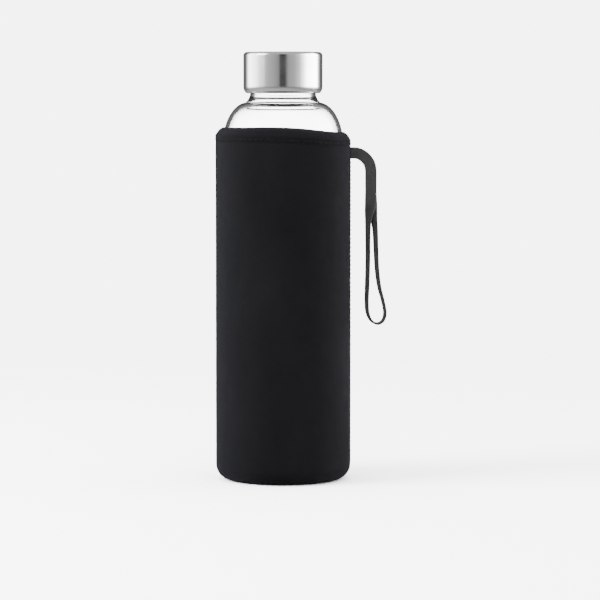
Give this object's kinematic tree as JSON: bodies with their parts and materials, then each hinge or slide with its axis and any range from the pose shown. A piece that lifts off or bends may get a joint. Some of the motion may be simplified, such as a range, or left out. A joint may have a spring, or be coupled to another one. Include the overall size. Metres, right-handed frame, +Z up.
{
  "type": "water bottle",
  "caption": "Clear glass water bottle with a screwed steel cap, in a black neoprene sleeve with a grey webbing wrist loop.",
  "frame": {"origin": "centre of the sleeve's underside, on the surface the bottle stands on", "axes": "+Z up along the bottle's axis, +X towards the side seam and its wrist loop"},
  "size_m": [0.0929, 0.0738, 0.2305],
  "materials": {
    "glass": "gloss",
    "steel": "satin",
    "liner_plastic": "satin",
    "seal_silicone": "satin",
    "neoprene": "matte",
    "knit_tape": "matte",
    "sewing_thread": "matte",
    "webbing": "matte"
  },
  "bodies": {
    "sleeve": {"sleeve_body": "neoprene", "sleeve_base": "neoprene", "sleeve_binding": "knit_tape", "binding_stitches": "sewing_thread", "side_seam_stitches": "sewing_thread", "base_seam_stitches": "sewing_thread", "strap_ends": "webbing", "strap_stitches": "sewing_thread"},
    "bottle": {"glass_bottle": "glass"},
    "seal": {"cap_seal": "seal_silicone"},
    "cap": {"cap_shell": "steel", "cap_liner": "liner_plastic"},
    "strap": {"strap_loop": "webbing"}
  },
  "joints": [
    {"name": "bottle_lift", "type": "slide", "parent": "sleeve", "child": "bottle", "axis": [0, 0, 1], "range_m": [0, 0.2]},
    {"name": "cap_lift", "type": "slide", "parent": "bottle", "child": "seal", "axis": [0, 0, 1], "range_m": [0, 0.0212]},
    {"name": "cap_turn", "type": "hinge", "parent": "seal", "child": "cap", "pos_m": [0, 0, 0.22], "axis": [0, 0, 1], "range_deg": [0, 1800]},
    {"name": "strap_swing", "type": "hinge", "parent": "sleeve", "child": "strap", "pos_m": [0.0378, 0, 0.1788], "axis": [0, 0, 1], "range_deg": [-75, 75]}
  ],
  "couplings": [
    {"joint": "cap_lift", "follows": "cap_turn", "m_per_rad": 0.00067322}
  ]
}
